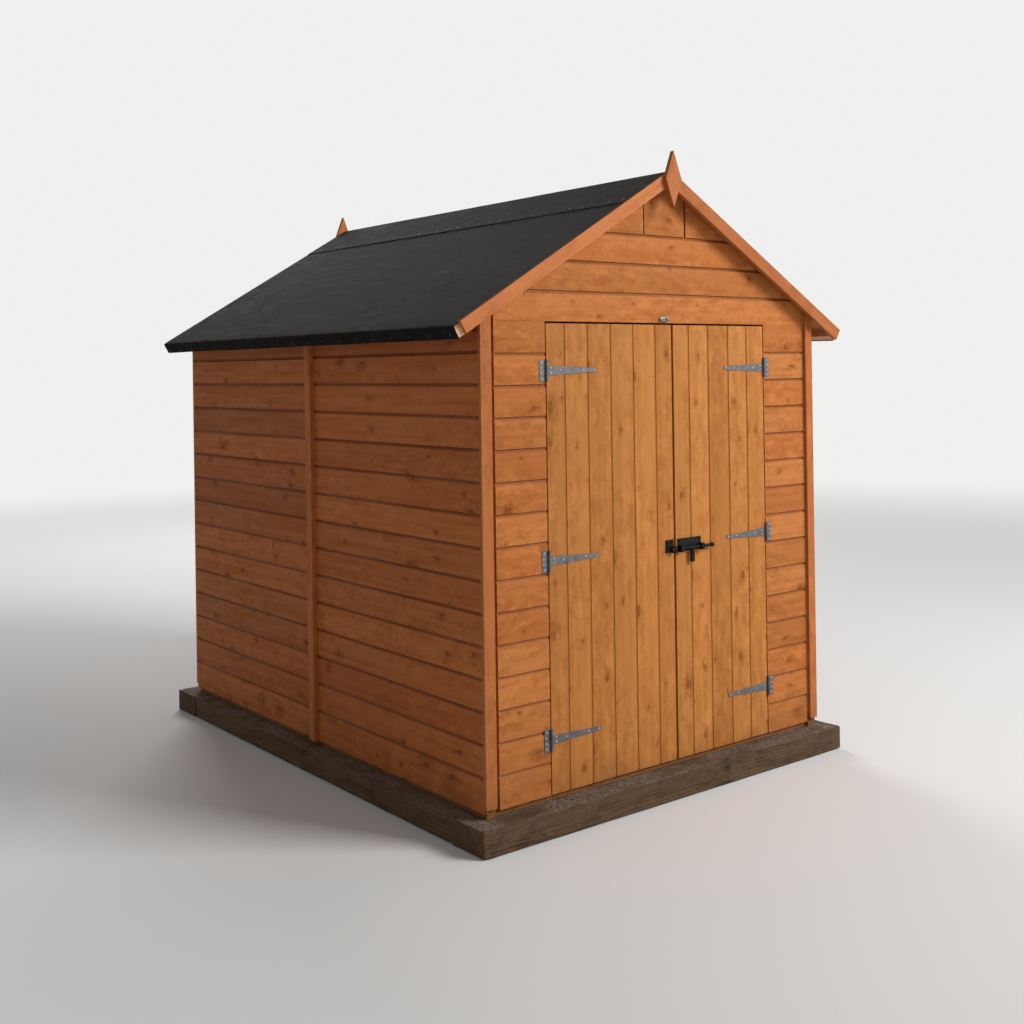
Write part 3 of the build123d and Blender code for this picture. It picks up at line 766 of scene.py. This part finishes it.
def gable(node, material):
    """Gable boards cut to the roof, with a wide plate in the apex between two narrow slots."""
    full_rows = 3
    widest = 0.845
    nail_inset = 0.025
    plate_nails = ((-0.3, 2.235), (-0.1, 2.235), (0.1, 2.235), (0.3, 2.232), (-0.02, 2.38), (0.02, 2.33))
    low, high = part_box(node)
    origin, axes, length = wall_axes(low, high)
    thickness = high.y - low.y
    plate_foot = gable_foot + full_rows * board_cover
    timber = Timber()
    for number in range(full_rows):
        start = origin + UP * (number * board_cover)
        section = shiplap(board_cover, thickness)
        timber.add(board_mesh(section, start, axes, length, both_slopes), start, axes, True)
        bottom = start.z
        half = (ridge_top - roof_build / slope_cos - bottom - board_cover) / math.tan(roof_slope)
        half = min(half, widest) - nail_inset
        places = [place - low.x for place in (-half, -half / 2, 0.0, half / 2, half)]
        nail_course(origin, axes, bottom, bottom + board_cover, places)
    section = shiplap(high.z - plate_foot, thickness, last=True)
    for left, right in ((low.x, -0.096), (-0.090, 0.132), (0.141, high.x)):
        start = Vector((left, origin.y, plate_foot))
        timber.add(board_mesh(section, start, axes, right - left, both_slopes), start, axes, True)
    for x, z in plate_nails:
        wall_nails.nail(Vector((x, origin.y, z)), -axes[2])
    timber.piece(f"{node}_boards", material, "shed", "cladding_timber", [node])


gable("front_gable", cladding)
gable("rear_gable", shade_painted_cladding)
wall_nails.piece("cladding_nails", nail_dark, "shed", "galvanised_steel")

# Doors: upright shiplap boards nailed to the ledges
door_joints = {
    "left_door": (-0.510, -0.395, -0.277, -0.158, -0.038),
    "right_door": (0.152, 0.265, 0.386, 0.500),
}
ledge_lines = (0.324, 0.976, 1.683)
ledge_nail_spread = 0.03
ledge_nail_wobble = 0.006
door_step = 0.0028
door_scoop = 0.010
for body, joints in door_joints.items():
    low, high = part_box(f"{body}_boards")
    edges = [low.x, *joints, high.x]
    timber = Timber()
    nails = Studs()
    axes = (UP, RIGHT, BACK)
    for number, (left, right) in enumerate(zip(edges, edges[1:])):
        first = number == 0
        last = number == len(edges) - 2
        section = shiplap(right - left, high.y - low.y, first, last, door_step, door_scoop)
        start = Vector((left, low.y, low.z))
        timber.add(board_mesh(section, start, axes, high.z - low.z), start, axes, True)
        for height in ledge_lines:
            for share in (0.25, 0.7):
                wobble = random.uniform(-ledge_nail_wobble, ledge_nail_wobble)
                spot = Vector((left + (right - left) * share, low.y, height + wobble))
                nails.nail(spot + UP * random.choice((-ledge_nail_spread, ledge_nail_spread)), -BACK)
    timber.piece(f"{body}_planks", door_wood, body, "door_timber", [f"{body}_boards"])
    nails.piece(f"{body}_nails", nail_dark, body, "galvanised_steel")

# Floor boards
floor_cover = 0.1124
floor_gap = 0.0008
floor_chamfer = 0.0012
low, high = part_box("floor_deck")
timber = Timber()
rows = round((high.y - low.y) / floor_cover)
row_depth = (high.y - low.y) / rows
axes = (RIGHT, BACK, -UP)
section = plank(row_depth - floor_gap, high.z - low.z, floor_chamfer)
for number in range(rows):
    start = Vector((low.x, low.y + number * row_depth, high.z))
    timber.add(board_mesh(section, start, axes, high.x - low.x), start, axes)
timber.piece("floor_boards", floor_wood, "shed", "floor_timber", ["floor_deck"])

# Roof boards, the top one on each slope run on and cut off above the ridge
roof_rows = 11
roof_gap = 0.0006
roof_chamfer = 0.0016
run_on = 0.012
for side, side_name in sides:
    low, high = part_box(f"roof_deck_{side_name}")
    down, out = slope(side)
    axes = (BACK, down, -out)
    top = Vector((0, low.y, ridge_top)) - out * felt_thickness
    reach = (max(abs(low.x), abs(high.x)) + felt_thickness * slope_sin) / slope_cos
    width = reach / roof_rows
    middle = (Vector(), RIGHT * -side)
    timber = Timber()
    for number in range(roof_rows):
        back_up = run_on if number == 0 else 0.0
        start = top + down * (number * width - back_up)
        section = plank(width + back_up - roof_gap, roof_deck_thickness, roof_chamfer)
        timber.add(board_mesh(section, start, axes, high.y - low.y, [middle]), start, axes)
    timber.piece(f"roof_boards_{side_name}", roof_wood, "shed", "roof_board", [f"roof_deck_{side_name}"])

# Timbers that keep the CAD's form
barge_plane_depth = 0.002
dressed_timber("corner_strips_front", "front_corner_strips", trim_wood, "trim_timber")
dressed_timber("corner_strips_rear", "rear_corner_strips", trim_wood, "trim_timber")
dressed_timber("joint_covers", "side_joint_covers", trim_wood, "trim_timber")
for end_name in ("front", "rear"):
    for side, side_name in sides:
        node = f"barge_board_{end_name}_{side_name}"
        cut = roof_cut(side, barge_plane_depth) if end_name == "rear" else None
        dressed_timber(f"{node}_plank", node, trim_wood, "trim_timber", cut=cut)
    dressed_timber(f"finial_{end_name}_diamond", f"finial_{end_name}", trim_wood, "trim_timber")
    dressed_timber(f"{end_name}_wall_studs", f"{end_name}_frame", frame_wood, "frame_timber")
for side_name in ("left", "right"):
    door = f"{side_name}_door"
    dressed_timber(f"{side_name}_wall_studs", f"{side_name}_frame", frame_wood, "frame_timber")
    dressed_timber(f"{door}_rails", f"{door}_ledges", frame_wood, "door_timber", body=door)
for name, node, material in (
    ("roof_purlins", "purlins", frame_wood),
    ("eaves_timbers", "eaves_battens", lit_batten_wood),
    ("ridge_timber", "ridge_beam", frame_wood),
    ("truss_timbers", "roof_truss", frame_wood),
    ("bearers", "floor_bearers", shaded_bearer_wood),
):
    dressed_timber(name, node, material, "frame_timber")


# Sleepers: worn edges and faces that aren't quite flat
def rounded_outline(width, tall, edge, spacing):
    """Rectangle with round corners and points along its sides, as (across, up) points."""
    arcs = []
    right, top = width - edge, tall - edge
    for u, v, start in ((edge, edge, 180), (right, edge, 270), (right, top, 0), (edge, top, 90)):
        turns = [math.radians(start + 30 * number) for number in range(4)]
        arcs.append([(u + edge * math.cos(turn), v + edge * math.sin(turn)) for turn in turns])
    outline = []
    for arc, following in zip(arcs, arcs[1:] + arcs[:1]):
        outline += arc
        (u, v), (next_u, next_v) = arc[-1], following[0]
        steps = max(2, round(math.dist(arc[-1], following[0]) / spacing))
        for number in range(1, steps):
            share = number / steps
            outline.append((u + (next_u - u) * share, v + (next_v - v) * share))
    return outline


def sleeper(name, node):
    """One sleeper, worn a millimetre or two below the CAD's faces."""
    edge = 0.007
    outline_spacing = 0.02
    station_spacing = 0.03
    end_wear = 0.003
    low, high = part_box(node)
    runs_back = high.y - low.y > high.x - low.x
    along = BACK if runs_back else RIGHT
    across = RIGHT if runs_back else BACK
    length = (high - low).dot(along)
    width = (high - low).dot(across)
    tall = high.z - low.z
    outline = rounded_outline(width, tall, edge, outline_spacing)
    stations = round(length / station_spacing)
    seed = random.uniform(0, 50)
    bm = bmesh.new()
    rows = []
    for station in range(stations + 1):
        reach = length * station / stations
        row = []
        for u, v in outline:
            spot = Vector((reach * 3, u * 16, v * 16 + seed))
            worn = 0.0012 + 0.0014 * noise.noise(spot) + 0.0007 * noise.noise(spot * 4)
            if station in (0, stations):
                worn += end_wear
            pull = Vector((width / 2 - u, tall / 2 - v)).normalized() * max(worn, 0.0)
            height = max(v + pull.y, 0.0)
            row.append(bm.verts.new(low + along * reach + across * (u + pull.x) + UP * height))
        rows.append(row)
    for corners in solid_faces(rows):
        bm.faces.new(corners)
    bmesh.ops.recalc_face_normals(bm, faces=bm.faces)
    timber = Timber()
    timber.add(bm, low + across * (width / 2), (along, across, UP))
    timber.piece(name, sleeper_wood, "shed", "sleeper_timber", [node], 60.0)


for side_name in ("front", "rear", "left", "right"):
    sleeper(f"sleeper_{side_name}", f"base_sleeper_{side_name}")

# Roofing felt
slope_down, slope_out = slope(1)


def felt_path(reach, drop):
    """Points down the right slope and round the eaves, with the way out of each, in the X-Z plane."""
    bend = 0.006
    bend_parts = 4
    drop_parts = 3
    spacing = 0.05
    top = Vector((0, 0, ridge_top)) - slope_out * felt_thickness
    straight = reach - (bend if drop else 0.0)
    steps = max(2, round(straight / spacing))
    path = []
    for number in range(steps + 1):
        path.append((top + slope_down * (straight * number / steps), slope_out))
    if drop:
        centre = path[-1][0] - slope_out * bend
        for number in range(1, bend_parts + 1):
            turn = math.radians(90 * number / bend_parts)
            way = slope_out * math.cos(turn) + slope_down * math.sin(turn)
            path.append((centre + way * bend, way))
        last = path[-1][0]
        for number in range(1, drop_parts + 1):
            path.append((last - slope_out * ((drop - bend) * number / drop_parts), slope_down))
    return path


def felt_sheet(name, node, side, path, lift, edge_wave):
    """A sheet along the whole roof, a little uneven, with its own thickness."""
    station_spacing = 0.04
    low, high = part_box(node)
    stations = round((high.y - low.y) / station_spacing)
    seed = random.uniform(0, 90)
    tangent = (path[-1][0] - path[-2][0]).normalized()
    points = []
    faces = []
    count = len(path)
    for layer in (0, 1):
        for station in range(stations + 1):
            y = low.y + (high.y - low.y) * station / stations
            for number, (spot, out) in enumerate(path):
                raised = lift
                if layer:
                    ripple = noise.noise(Vector((spot.x * 5, y * 3, seed)))
                    fine = noise.noise(Vector((spot.x * 17, y * 13, seed)))
                    raised = lift + felt_thickness + max(0.0, 0.0011 * ripple + 0.0005 * fine)
                point = spot + out * raised
                if number >= count - 2:
                    wave = noise.noise(Vector((y * 4, seed, 0)))
                    share = 1.0 if number == count - 1 else 0.4
                    point = point + tangent * (edge_wave * wave * share)
                points.append((side * point.x, y, point.z))

    def quad(first, step, across):
        return [first, first + step, first + step + across, first + across]

    outer = count * (stations + 1)
    for station in range(stations):
        for start in range(station * count, station * count + count - 1):
            faces += [quad(start, count, 1)[::-1], quad(outer + start, count, 1)]
        for start in (station * count, station * count + count - 1):
            faces.append(quad(start, count, outer))
    for station in (0, stations):
        for start in range(station * count, station * count + count - 1):
            faces.append(quad(start, 1, outer))
    mesh = bpy.data.meshes.new(name)
    mesh.from_pydata(points, [], faces)
    bm = bmesh.new()
    bm.from_mesh(mesh)
    bmesh.ops.recalc_face_normals(bm, faces=bm.faces)
    bm.to_mesh(mesh)
    bm.free()
    return settle(name, mesh, felt, "shed", smooth_below=50.0)


clouts = Studs()


def clout_row(side, box, spot, out, inset, count):
    """Clout nails along one slope, with the spot and the way out given for the right one."""
    low, high = box
    mirror = Vector((side, 1, 1))
    for number in range(count):
        y = low.y + inset + number * (high.y - low.y - 2 * inset) / (count - 1)
        clouts.clout((spot + BACK * y) * mirror, out * mirror)


felt_fold = 0.047
cap_setback = 0.002
cap_nail_inset = 0.022
cap_nail_lift = 0.0036
fold_nail_drop = 0.034
fold_nail_lift = 0.0003
felt_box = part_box("roof_felt_right")
cap_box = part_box("ridge_cap")
eaves_reach = felt_box[1].x / slope_cos
cap_reach = cap_box[1].x / slope_cos - cap_setback
sheet_path = felt_path(eaves_reach - felt_thickness, felt_fold)
for side, side_name in sides:
    node = f"roof_felt_{side_name}"
    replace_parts(felt_sheet(f"felt_{side_name}", node, side, sheet_path, 0.0, 0.002), node)
caps = []
for side, side_name in sides:
    path = felt_path(cap_reach, 0.0)
    caps.append(felt_sheet(f"felt_cap_{side_name}", "ridge_cap", side, path, felt_thickness, 0.0025))
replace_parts(caps[0], "ridge_cap")
ridge = UP * ridge_top
cap_spot = ridge + slope_down * (cap_reach - cap_nail_inset) + slope_out * cap_nail_lift
fold_spot = ridge + slope_down * (eaves_reach + fold_nail_lift) - slope_out * fold_nail_drop
for side in (-1, 1):
    clout_row(side, cap_box, cap_spot, slope_out, 0.03, 32)
    clout_row(side, felt_box, fold_spot, slope_down, 0.04, 20)
clouts.piece("felt_nails", nail_dull, "shed", "galvanised_steel")

# Tee hinges with drilled plates
plate = 0.0025
pin_x = 0.6045
pin_y = -1.2015
setback = 0.007
eye_half = 0.015
eye_room = eye_half + 0.0005
root_half = 0.018
tip_half = 0.0075
taper_end = 0.236
tip_centre = 0.242
tip_radius = 0.0078
flange_reach = 0.032
flange_half = 0.041
barrel_radius = 0.0055
hole_radius = 0.0024
middle_share = 0.4834
strap_holes = [(0.024, 0.009), (0.024, -0.009), (0.072, 0.0), (0.128, 0.0), (0.184, 0.0), (0.236, 0.0)]
open_hole = strap_holes[3]
flange_holes = [(-0.020, -0.031), (-0.025, -0.010), (-0.025, 0.010), (-0.020, 0.031)]


def strap_outline():
    """Tapered strap with a round tip and a narrower eye at the pin."""
    tip = []
    for number in range(7):
        turn = math.radians(-90 + 30 * number)
        tip.append((tip_centre + tip_radius * math.cos(turn), tip_radius * math.sin(turn)))
    return [
        (setback, -root_half), (taper_end, -tip_half), *tip, (taper_end, tip_half), (setback, root_half),
        (setback, eye_half), (0.0, eye_half), (0.0, -eye_half), (setback, -eye_half),
    ]


def flange_outline():
    """Upright plate with room for the strap's eye."""
    return [
        (-flange_reach, -flange_half), (0.0, -flange_half), (0.0, -eye_room), (-setback, -eye_room),
        (-setback, eye_room), (0.0, eye_room), (0.0, flange_half), (-flange_reach, flange_half),
    ]


def drilled_plate(bm, outline, holes, turned):
    """Put a flat plate with round holes, drawn in its own X-Y plane, into a hinge's mesh."""
    ease = 0.0004
    hole_sides = 12
    curve = bpy.data.curves.new("plate", "CURVE")
    curve.dimensions = "2D"
    curve.fill_mode = "BOTH"
    curve.extrude = plate / 2 - ease
    curve.bevel_depth = ease
    curve.bevel_resolution = 0
    curve.offset = -ease
    turns = [math.tau * number / hole_sides for number in range(hole_sides)]
    round_hole = [(hole_radius * math.cos(turn), -hole_radius * math.sin(turn)) for turn in turns]
    loops = [outline, *([(x + u, y + v) for u, v in round_hole] for x, y in holes)]
    for loop in loops:
        spline = curve.splines.new("POLY")
        spline.points.add(len(loop) - 1)
        for point, (x, y) in zip(spline.points, loop):
            point.co = (x, y, 0, 1)
        spline.use_cyclic_u = True
    holder = linked("plate", curve)
    bpy.context.view_layer.update()
    mesh = bpy.data.meshes.new_from_object(holder)
    bpy.data.objects.remove(holder)
    bpy.data.curves.remove(curve)
    mesh.transform(turned)
    bm.from_mesh(mesh)
    bpy.data.meshes.remove(mesh)


def barrel(bm, x, low, high):
    """Upright knuckle of a hinge, on its pin."""
    ease = 0.0006
    made = bmesh.ops.create_cone(
        bm, cap_ends=True, segments=24, radius1=barrel_radius, radius2=barrel_radius, depth=high - low
    )
    bmesh.ops.translate(bm, verts=made["verts"], vec=Vector((x, pin_y, (low + high) / 2)))
    fresh = set(made["verts"])
    own = [edge for edge in bm.edges if edge.verts[0] in fresh]
    rims = [edge for edge in own if abs(edge.calc_face_angle(0)) > 1.0]
    bmesh.ops.bevel(bm, geom=rims, offset=ease, segments=1, affect="EDGES")


hinge_parts = {
    "strap": (strap_outline(), strap_holes, [(-eye_half, eye_half)]),
    "flange": (flange_outline(), flange_holes, [(-flange_half, -eye_room), (eye_room, flange_half)]),
}
for side, side_name in sides:
    low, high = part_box(f"{side_name}_hinge_straps")
    lowest = low.z + root_half
    highest = high.z - root_half
    bodies = {"strap": f"{side_name}_door", "flange": "shed"}
    plates = {part: bmesh.new() for part in hinge_parts}
    screws = {part: Studs() for part in hinge_parts}
    facing_front = Matrix(((-side, 0, 0, 0), (0, 0, -1, 0), (0, 1, 0, 0), (0, 0, 0, 1)))
    for z in (lowest, lowest + middle_share * (highest - lowest), highest):
        turned = Matrix.Translation((side * pin_x, front_face - plate / 2, z)) @ facing_front
        for part, (outline, holes, knuckles) in hinge_parts.items():
            drilled_plate(plates[part], outline, holes, turned)
            for foot, top in knuckles:
                barrel(plates[part], side * pin_x, z + foot, z + top)
            for x, y in holes:
                if (x, y) != open_hole:
                    screws[part].screw(Vector((side * (pin_x - x), front_face - plate, z + y)), -BACK)
    for part, bm in plates.items():
        bmesh.ops.recalc_face_normals(bm, faces=bm.faces)
        mesh = bpy.data.meshes.new(f"hinge_{part}s")
        bm.to_mesh(mesh)
        bm.free()
        node = f"{side_name}_hinge_{part}s"
        settle(f"{node}_zinc", mesh, zinc, bodies[part], [node], 35.0)
    for part, heads in screws.items():
        heads.piece(f"{side_name}_{part}_screws", glinting_screw_steel, bodies[part], "galvanised_steel")

# Bolt, keep and turn button
dressed_metal("bolt_backplate", "bolt_plate", black, "right_door")
dressed_metal("bolt_staple", "bolt_keep", black, "left_door")
dressed_metal("bolt_rod", "bolt_bar", black, "bolt", 0.0009)
dressed_metal("turn_button_plate", "turn_button", zinc, "turn_button", 0.0005)
dressed_metal("turn_button_pin", "turn_button_screw", zinc, "shed", 0.0004)
head_inset = 0.008
for node, body, name in (
    ("bolt_plate", "right_door", "bolt_plate_heads"),
    ("bolt_keep", "left_door", "keep_heads"),
):
    low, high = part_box(node)
    heads = Studs()
    for x in (low.x + head_inset, high.x - head_inset):
        for z in (low.z + head_inset, high.z - head_inset):
            heads.dome(Vector((x, high.y - plate, z)), -BACK)
    heads.piece(name, black, body, "black_steel")

# Ground, world and lamps
backdrop = (0.87, 0.87, 0.86, 1.0)


def stage_ground():
    """Pale ground that fades into the backdrop far from the shed."""
    mesh = bpy.data.meshes.new("stage_floor")
    bm = bmesh.new()
    bmesh.ops.create_circle(bm, cap_ends=True, segments=96, radius=60.0)
    bm.to_mesh(mesh)
    bm.free()
    ground = linked("stage_floor", mesh)
    ground.location = (0, 0, -0.0005)
    g = Surface("stage_floor")
    x, y, _ = g.split(g.place())
    distance = g.math("SQRT", g.math("ADD", g.times(x, x), g.times(y, y)))
    seen = g.times(g.remap(distance, 4.0, 14.0), g.add("ShaderNodeLightPath").outputs["Is Camera Ray"])
    glow = g.wire(g.add("ShaderNodeEmission"), Color=backdrop).outputs[0]
    mix = g.join(g.add("ShaderNodeMixShader"), seen, g.shader.outputs["BSDF"], glow)
    g.feed(g.output.inputs["Surface"], mix)
    mesh.materials.append(g.finish((0.74, 0.74, 0.73, 1.0), 0.9, specular=0.1))


def studio_world():
    """Even white light, which the camera and reflections see as the backdrop."""
    world = bpy.data.worlds.new("studio")
    bpy.context.scene.world = world
    g = Graph(world)
    ambient = g.wire(g.add("ShaderNodeBackground"), Color=(1.0, 1.0, 1.0, 1.0), Strength=0.25).outputs[0]
    shown = g.wire(g.add("ShaderNodeBackground"), Color=backdrop, Strength=1.0).outputs[0]
    rays = g.add("ShaderNodeLightPath").outputs
    direct = rays["Is Camera Ray"]
    for name in ("Is Glossy Ray", "Is Transmission Ray"):
        direct = g.math("MAXIMUM", direct, rays[name])
    mix = g.join(g.add("ShaderNodeMixShader"), direct, ambient, shown)
    g.feed(g.add("ShaderNodeOutputWorld").inputs["Surface"], mix)


def softbox(name, place, power):
    """Square area lamp that looks at the middle of the shed."""
    lamp = bpy.data.lights.new(name, "AREA")
    lamp.shape = "SQUARE"
    lamp.size = 4.0
    lamp.energy = power
    obj = linked(name, lamp)
    obj.location = place
    obj.rotation_euler = (UP * 1.1 - Vector(place)).to_track_quat("-Z", "Y").to_euler()


stage_ground()
studio_world()
softbox("key", (4.5, -7.5, 6.0), 850.0)
softbox("fill", (-7.0, -4.0, 4.0), 14.0)
softbox("rear", (3.0, 8.0, 6.0), 420.0)

bpy.context.scene.view_settings.view_transform = "Standard"
